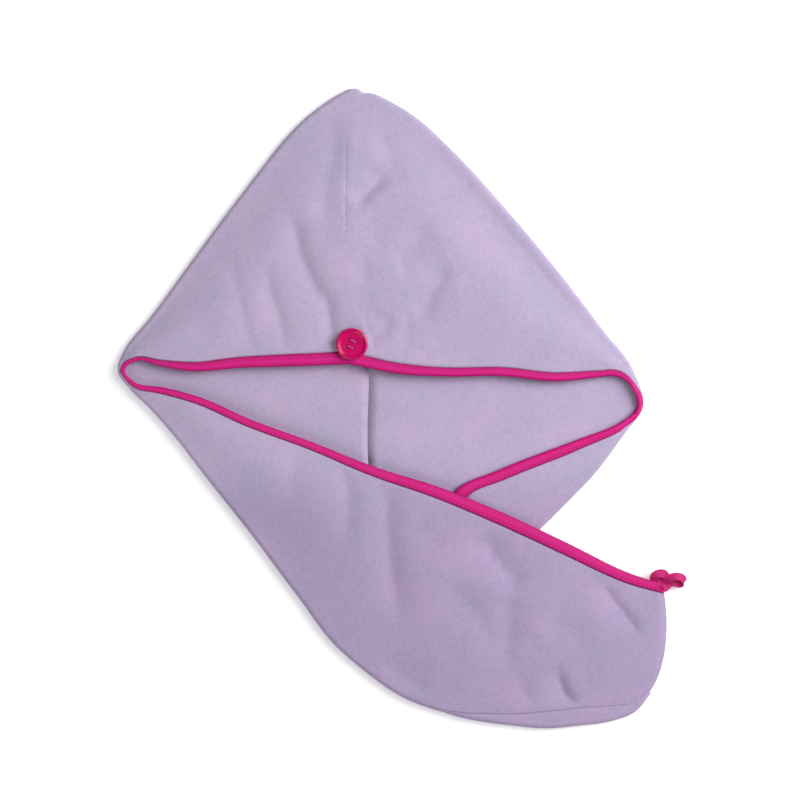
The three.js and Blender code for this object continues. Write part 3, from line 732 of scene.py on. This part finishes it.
def fleece_material():
    made, nodes, links, shader = material_named("fleece")
    place = nodes.new("ShaderNodeTexCoord").outputs["Object"]
    patches = noise_node(nodes, links, place, 24, 3, 0.55)
    colour = ramp_node(
        nodes,
        links,
        patches,
        [
            (0.32, linear(184, 174, 203)),
            (0.5, linear(190, 175, 206)),
            (0.68, linear(196, 177, 208)),
        ],
    )
    brushed = noise_node(nodes, links, place, 330, 3, 0.65)
    shade = ramp_node(
        nodes, links, brushed, [(0.3, (0.92, 0.92, 0.93)), (0.5, (1, 1, 1)), (0.7, (1.05, 1.05, 1.05))]
    )
    # Painted shade: the fleece darkens towards the tail end (lower Y), standing in for the key light
    # falling off towards the lower left
    painted_tail_shade = ramp_node(
        nodes, links, upwards(nodes, links, -0.09, -0.03), [(0, (0.85, 0.81, 0.87)), (1, (1, 1, 1))]
    )
    mixed = multiplied(nodes, links, multiplied(nodes, links, colour, shade), painted_tail_shade)
    links.new(mixed, shader.inputs["Base Color"])
    shader.inputs["Roughness"].default_value = 0.95
    shader.inputs["Specular IOR Level"].default_value = 0.15
    shader.inputs["Sheen Weight"].default_value = 0.2
    shader.inputs["Sheen Roughness"].default_value = 0.5
    shader.inputs["Sheen Tint"].default_value = (0.9, 0.85, 1, 1)
    pile = noise_node(nodes, links, place, 1500, 2, 0.6)
    fine = bump_node(nodes, links, pile, 0.4, 0.0003)
    tufts = noise_node(nodes, links, place, 420, 3, 0.6)
    coarse = bump_node(nodes, links, tufts, 0.4, 0.0007, fine)
    links.new(coarse, shader.inputs["Normal"])
    return made


def tape_material():
    made, nodes, links, shader = material_named("tape")
    uv = nodes.new("ShaderNodeTexCoord").outputs["UV"]
    separate = nodes.new("ShaderNodeSeparateXYZ")
    links.new(uv, separate.inputs["Vector"])
    # Across the tape: a painted highlight along its middle and painted shade towards both its edges
    colour = ramp_node(
        nodes,
        links,
        separate.outputs["Y"],
        [
            (0.02, linear(184, 10, 108)),
            (0.2, linear(208, 16, 125)),
            (0.45, linear(220, 34, 136)),
            (0.7, linear(208, 16, 125)),
            (0.97, linear(174, 8, 102)),
        ],
    )
    # Painted shade: the tape darkens towards the tip (lower Y), standing in for the key light falling
    # off towards the lower left
    depth = ramp_node(
        nodes, links, upwards(nodes, links, -0.125, -0.06), [(0, (0.92, 0.75, 0.9)), (1, (1, 1, 1))]
    )
    links.new(multiplied(nodes, links, colour, depth), shader.inputs["Base Color"])
    shader.inputs["Roughness"].default_value = 0.55
    shader.inputs["Specular IOR Level"].default_value = 0.25
    return made


def plastic_material():
    made, nodes, links, shader = material_named("button_plastic")
    place = nodes.new("ShaderNodeTexCoord").outputs["Object"]
    clouds = noise_node(nodes, links, place, 180, 2, 0.5)
    colour = ramp_node(
        nodes, links, clouds, [(0.3, linear(200, 4, 92)), (0.7, linear(210, 8, 102))]
    )
    links.new(colour, shader.inputs["Base Color"])
    shader.inputs["Roughness"].default_value = 0.14
    return made


def thread_material(name, red, green, blue):
    made, nodes, links, shader = material_named(name)
    place = nodes.new("ShaderNodeTexCoord").outputs["Object"]
    fibres = noise_node(nodes, links, place, 2500, 2, 0.6)
    colour = ramp_node(
        nodes,
        links,
        fibres,
        [(0.3, linear(red * 0.86, green * 0.8, blue * 0.86)), (0.7, linear(red, green, blue))],
    )
    links.new(colour, shader.inputs["Base Color"])
    shader.inputs["Roughness"].default_value = 0.7
    return made


fleece = fleece_material()
tape = tape_material()
plastic = plastic_material()
cotton = thread_material("thread", 232, 90, 160)
tape_cotton = thread_material("tape_thread", 232, 72, 152)
elastic = thread_material("elastic", 208, 14, 120)


# Panels


def panel_object(name, panel, before, after):
    run = Run(panel, stations)
    closed = smooth_step(change_start, change_end, stations)
    band = band_width * panel.band(stations)
    distances = []
    for i in range(len(stations)):
        start = band[i] + 2 * clearance
        stop = run.length[i] - seam_gap
        first = body_rows(run.ends[i], before, start, stop)
        second = body_rows(run.ends[i], after, start, stop)
        body = first * (1 - closed[i]) + second * closed[i]
        hem = [band_wall + 2 * clearance, 0.6 * band[i], band[i] + clearance, start]
        distances.append(np.concatenate([hem, body]))
    distances = np.array(distances)
    grid = run.places(distances)
    normals = grid_normals(grid, panel.side)
    normals[0, :, 0] = 0
    normals[0] = unit(normals[0])
    up_seam = grid[..., 1]
    grid[..., 0] += panel.side * near_seam_gap / 2
    far_part = smooth_step(0, 4, run.length[:, None] - distances)
    near_part = smooth_step(0, 1.2, np.linalg.norm(grid - grid[:1], axis=-1))
    thickness = seam_thickness + (cloth_thickness - seam_thickness) * far_part
    pressed = 0.2 + 0.8 * smooth_step(*pressed_low, up_seam) * (1 - smooth_step(*pressed_high, up_seam))
    thickness -= (cloth_thickness - near_seam_thickness) * (1 - near_part) * pressed
    thickness[:, :3] = hem_thickness
    half = normals * (thickness / 2)[..., None]
    top = grid + half
    under = grid - half
    columns, rows = grid.shape[:2]
    points = to_frame(np.concatenate([top.reshape(-1, 3), under.reshape(-1, 3)]))
    index = np.arange(columns * rows).reshape(columns, rows)
    offset = columns * rows
    a = index[:-1, :-1].ravel()
    b = index[:-1, 1:].ravel()
    c = index[1:, 1:].ravel()
    d = index[1:, :-1].ravel()
    faces = list(zip(a, b, c, d))
    faces += list(zip(d + offset, c + offset, b + offset, a + offset))
    rim = np.concatenate(
        [index[:, 0], index[-1, 1:], index[-2::-1, -1], index[0, -2:0:-1]]
    )
    following = np.roll(rim, -1)
    faces += list(zip(rim, following, following + offset, rim + offset))
    faces = [tuple(int(i) for i in face) for face in faces]
    made = mesh_object(name, points, outward_faces(points, faces), fleece)
    for edge in made.data.edges:
        start, stop = (v % offset for v in edge.vertices)
        edge.use_edge_sharp = start < rows and stop < rows
    return made


panel_left = panel_object("cloth_left", left, [86, 14, 24], [124, 0, 0])
panel_right = panel_object("cloth_right", right, [86, 14, 24, 0, 0], [0, 0, 84, 20, 20])

# Binding


def tape_lines(panel, shares, offsets):
    """Lines along the tape at shares of its width, raised from the middle of the cloth."""
    run = Run(panel, stations)
    lines = shares[None, :] * (band_width * panel.band(stations))[:, None]
    tiny = 0.4
    places = run.places(lines)
    ahead = run.places(lines + tiny) - run.places(np.maximum(lines - tiny, 0))
    beside = np.gradient(places, axis=0)
    normals = unit(np.cross(beside, ahead)) * panel.side
    return places + normals * offsets[None, :, None]


def binding_object():
    half = band_thickness / 2
    slot = half - band_wall
    profile = [
        (1, half - 0.35),
        (0.97, half - 0.12),
        (0.85, half),
        (0.62, half + 0.05),
        (0.4, half),
        (0.2, half - 0.2),
        (0.07, half * 0.66),
        (0, half * 0.3),
        (0, -half * 0.3),
        (0.07, -half * 0.66),
        (0.2, 0.2 - half),
        (0.4, -half),
        (0.62, -half - 0.05),
        (0.85, -half),
        (0.97, 0.12 - half),
        (1, 0.35 - half),
        (1, -slot),
        (0.6, -slot),
        (band_wall / band_width, -slot),
        (band_wall / band_width, slot),
        (0.6, slot),
        (1, slot),
    ]
    shares = np.array([share for share, _ in profile])
    offsets = np.array([offset for _, offset in profile])
    rings = [tape_lines(panel, shares, offsets) for panel in (left, right)]
    ring = np.concatenate([rings[0][::-1], rings[1][1:]])
    columns, rows = ring.shape[:2]
    steps = np.linalg.norm(np.diff(ring[:, 2], axis=0), axis=-1)
    along = np.concatenate([[0], np.cumsum(steps)])
    uv = np.stack(np.broadcast_arrays(along[:, None] / 10, shares[None, :]), axis=-1)
    points = to_frame(ring.reshape(-1, 3))
    faces = []
    for i in range(columns - 1):
        for j in range(rows):
            k = (j + 1) % rows
            faces.append((i * rows + j, i * rows + k, (i + 1) * rows + k, (i + 1) * rows + j))
    last = (columns - 1) * rows
    for j in range(rows // 2 - 1):
        a, b, c, d = j, j + 1, rows - 2 - j, rows - 1 - j
        faces.append((d, c, b, a))
        faces.append((last + a, last + b, last + c, last + d))
    return mesh_object("binding_tape", points, outward_faces(points, faces), tape, uv.reshape(-1, 2))


binding = binding_object()

# Button
button_radius = 12.5
button_height = 4
face_height = 2.6
button_sides = 96
hole_radius = 1.05
hole_spacing = 5.2
button_turn = math.radians(-24)
thread_radius = 0.55
thread_rise = 0.6


def button_object():
    profile = [
        (0, 1),
        (5.3, 1),
        (5.5, 0.8),
        (5.5, 0.1),
        (5.8, 0),
        (10.6, 0),
        (11.4, 0.15),
        (12, 0.6),
        (12.4, 1.3),
        (button_radius, 2),
        (12.4, 2.8),
        (12.1, 3.5),
        (11.6, 3.9),
        (11, button_height),
        (10.5, 3.9),
        (10.1, 3.5),
        (9.8, 2.95),
        (9.4, 2.68),
        (8.8, face_height),
        (0, face_height),
    ]
    bm = bmesh.new()
    rings = []
    for radius, height in profile:
        if radius == 0:
            rings.append([bm.verts.new((0, 0, height))])
            continue
        rings.append(
            [
                bm.verts.new(
                    (
                        radius * math.cos(2 * math.pi * i / button_sides),
                        radius * math.sin(2 * math.pi * i / button_sides),
                        height,
                    )
                )
                for i in range(button_sides)
            ]
        )
    for low, high in zip(rings, rings[1:]):
        for i in range(button_sides):
            k = (i + 1) % button_sides
            ring = [low[i % len(low)], low[k % len(low)], high[k % len(high)], high[i % len(high)]]
            bm.faces.new(list(dict.fromkeys(ring)))
    bmesh.ops.recalc_face_normals(bm, faces=bm.faces)
    mesh = bpy.data.meshes.new("button_disc")
    bm.to_mesh(mesh)
    bm.free()
    made = bpy.data.objects.new("button_disc", mesh)
    bpy.context.scene.collection.objects.link(made)
    drill_bm = bmesh.new()
    for x, y in hole_places:
        bmesh.ops.create_cone(
            drill_bm,
            cap_ends=True,
            segments=32,
            radius1=hole_radius,
            radius2=hole_radius,
            depth=2 * button_height,
            matrix=Matrix.Translation((x, y, button_height / 2)),
        )
    drill_mesh = bpy.data.meshes.new("drill")
    drill_bm.to_mesh(drill_mesh)
    drill_bm.free()
    drill = bpy.data.objects.new("drill", drill_mesh)
    bpy.context.scene.collection.objects.link(drill)
    cut = made.modifiers.new("holes", "BOOLEAN")
    cut.operation = "DIFFERENCE"
    cut.object = drill
    cut.solver = "EXACT"
    round_off = made.modifiers.new("round", "BEVEL")
    round_off.width = 0.16
    round_off.segments = 3
    round_off.limit_method = "ANGLE"
    round_off.angle_limit = math.radians(50)
    bpy.context.view_layer.update()
    graph = bpy.context.evaluated_depsgraph_get()
    final = bpy.data.meshes.new_from_object(made.evaluated_get(graph))
    made.modifiers.clear()
    made.data = final
    bpy.data.objects.remove(drill)
    place = to_frame((button_x, button_y, button_base))
    final.transform(Matrix.Translation(place) @ Matrix.Scale(0.001, 4))
    final.polygons.foreach_set("use_smooth", [True] * len(final.polygons))
    final.materials.clear()
    final.materials.append(plastic)
    return made


hole_reach = hole_spacing / math.sqrt(2)
hole_places = [
    (
        hole_reach * math.cos(math.radians(angle) + button_turn),
        hole_reach * math.sin(math.radians(angle) + button_turn),
    )
    for angle in (45, 135, 225, 315)
]
button = button_object()


def tube(name, lines, radius, material, sides=8):
    """Round cords along lines of points in millimetres."""
    points = []
    faces = []
    for line in lines:
        line = np.asarray(line, float)
        along = unit(np.gradient(line, axis=0))
        up = np.array([0, 0, 1.0])
        first = np.where(np.abs(along @ up)[:, None] > 0.95, np.array([[1.0, 0, 0]]), up)
        across = unit(np.cross(along, first))
        over = np.cross(across, along)
        start = len(points)
        angles = 2 * math.pi * np.arange(sides) / sides
        for centre, a, b in zip(line, across, over):
            for angle in angles:
                points.append(centre + radius * (a * math.cos(angle) + b * math.sin(angle)))
        for i in range(len(line) - 1):
            for j in range(sides):
                k = (j + 1) % sides
                faces.append(
                    (
                        start + i * sides + j,
                        start + i * sides + k,
                        start + (i + 1) * sides + k,
                        start + (i + 1) * sides + j,
                    )
                )
        end = start + (len(line) - 1) * sides
        faces.append(tuple(start + j for j in reversed(range(sides))))
        faces.append(tuple(end + j for j in range(sides)))
    points = to_frame(points)
    return mesh_object(name, points, faces, material)


def stitch_line(start, end, height, dip):
    share = np.linspace(0, 1, 13)
    x = start[0] + (end[0] - start[0]) * share
    y = start[1] + (end[1] - start[1]) * share
    z = height + dip * (1 - (2 * share - 1) ** 4) - dip
    return np.stack([x + button_x, y + button_y, z + button_base], axis=-1)


over = face_height + clearance + thread_rise
under = 1 - clearance - thread_rise
thread_lines = [
    stitch_line(hole_places[0], hole_places[1], over, 0.5),
    stitch_line(hole_places[2], hole_places[3], over, 0.5),
    stitch_line(hole_places[1], hole_places[2], under, 0),
    stitch_line(hole_places[3], hole_places[0], under, 0),
]
for x, y in hole_places:
    heights = np.linspace(under, over - 0.4, 5)
    thread_lines.append(
        np.stack([np.full(5, x + button_x), np.full(5, y + button_y), heights + button_base], axis=-1)
    )
button_thread = tube("button_stitches", thread_lines, thread_radius, cotton)


# Stitches that hold the tape, on both its faces
stitch_spacing = 3.6
stitch_length = 2.4
stitch_sunk = 0.35
stitch_radius = 0.26
stitch_share = 0.8  # of the tape's width


def tape_stitches():
    dashes = []
    for panel in (left, right):
        for face in (1, -1):
            shares = np.array([stitch_share])
            row = tape_lines(panel, shares, np.array([band_thickness / 2]) * face)[:, 0]
            low_offset = np.array([band_thickness / 2 - stitch_sunk]) * face
            deep = tape_lines(panel, shares, low_offset)[:, 0]
            steps = np.linalg.norm(np.diff(row, axis=0), axis=-1)
            along = np.concatenate([[0], np.cumsum(steps)])
            for start in np.arange(1, along[-1] - stitch_length, stitch_spacing):
                share = np.linspace(0, 1, 5)
                at = start + stitch_length * share
                top, low = (
                    np.stack([np.interp(at, along, line[:, axis]) for axis in range(3)], axis=-1)
                    for line in (row, deep)
                )
                dip = ((2 * share - 1) ** 4)[:, None]
                dashes.append(top * (1 - dip) + low * dip)
    return tube("tape_stitches", dashes, stitch_radius, tape_cotton, 6)


stitches = tape_stitches()

# Elastic loop
loop_path = [
    (-5.4, 1.2, 5.5, -20, 0),
    (-6.1, 3, 5.9, -20, 0),
    (-6.5, 4.6, 7.3, -14, 0),
    (-5.3, 6.6, 8.6, -36, 4),
    (-2.2, 7.9, 8.6, -64, 4),
    (1, 7.8, 7.6, -92, 0),
    (3, 5.8, 6, -120, 0),
    (3, 3.4, 5, -120, 0),
    (3.4, 2.2, 5.4, -70, 10),
    (5.4, 3.6, 6.9, -60, 24),
    (8.6, 5.4, 7.6, -76, 32),
    (12.6, 5.7, 7.4, -94, 34),
    (16.2, 4.4, 6.2, -112, 32),
    (17.5, 2.2, 4.8, -124, 30),
    (16.4, 0.2, 3.8, -110, 30),
    (13, -0.4, 3.2, -80, 28),
    (9, 0.9, 3.3, -72, 20),
    (6, 0.5, 3.6, -64, 6),
    (4.2, -1.4, 4.5, -58, 0),
    (2.4, -2.8, 5.2, -66, 0),
    (1.05, -3.2, 5.7, -80, 0),
    (-0.6, -3, 5.2, -70, 0),
    (-1.9, -0.8, 4.4, -50, 0),
    (-2.2, 2.4, 4, -30, 0),
    (-2.2, 5.4, 3.6, -30, 0),
]


loop_width = 6.6
loop_thickness = 1
loop_ribs = 5


def loop_object():
    knots = np.linspace(0, 1, len(loop_path))
    x, y, z, turn, tilt = (through(knots, [row[i] for row in loop_path]) for i in range(5))
    tip = left.edge(1.0)
    at = np.linspace(0, 1, 121)
    line = np.stack([tip[0] + x(at), tip[1] + y(at), z(at)], axis=-1)
    along = unit(np.gradient(line, axis=0))
    angle = np.radians(turn(at))
    lean = np.radians(tilt(at))
    across = np.stack(
        [np.cos(angle) * np.cos(lean), np.sin(angle) * np.cos(lean), np.sin(lean)], axis=-1
    )
    across = unit(across - along * np.sum(across * along, axis=-1, keepdims=True))
    over_band = np.cross(along, across)
    steps = 8 * loop_ribs
    profile = []
    for i in range(steps + 1):
        w = i / steps - 0.5
        edge = min(1, (0.5 - abs(w)) / 0.08)
        rib = 0.5 + 0.5 * math.cos(2 * math.pi * loop_ribs * (w + 0.5) + math.pi)
        profile.append((w, (0.34 + 0.16 * rib) * math.sqrt(max(edge, 0.05))))
    section = profile + [(w, -t) for w, t in reversed(profile)]
    points = []
    for centre, a, b in zip(line, across, over_band):
        for w, t in section:
            points.append(centre + a * w * loop_width + b * t * loop_thickness)
    count = len(section)
    faces = []
    for i in range(len(line) - 1):
        for j in range(count):
            k = (j + 1) % count
            faces.append((i * count + j, i * count + k, (i + 1) * count + k, (i + 1) * count + j))
    last = (len(line) - 1) * count
    for j in range(count // 2 - 1):
        a, b, c, d = j, j + 1, count - 2 - j, count - 1 - j
        faces.append((d, c, b, a))
        faces.append((last + a, last + b, last + c, last + d))
    points = to_frame(points)
    return mesh_object("hanging_loop", points, outward_faces(points, faces), elastic)


loop = loop_object()

# Floor
bpy.ops.mesh.primitive_plane_add(size=12, location=(0, 0, 0))
floor = bpy.context.object
floor.name = "floor"
floor_material, _, _, floor_shader = material_named("floor_paper")
floor_shader.inputs["Base Color"].default_value = (0.94, 0.94, 0.94, 1)
floor_shader.inputs["Roughness"].default_value = 0.9
floor_shader.inputs["Emission Color"].default_value = (1, 1, 1, 1)
floor_shader.inputs["Emission Strength"].default_value = 0.28
floor.data.materials.append(floor_material)

pieces = [
    (panel_left, "panel_left", "fleece"),
    (panel_right, "panel_right", "fleece"),
    (binding, "binding", "tape"),
    (button, "button", "button_plastic"),
    (button_thread, "button_thread", "thread"),
    (loop, "tail_loop", "elastic"),
]
for piece, node, slot in pieces:
    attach(piece, "root")
    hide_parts(node)

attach(stitches, "root")
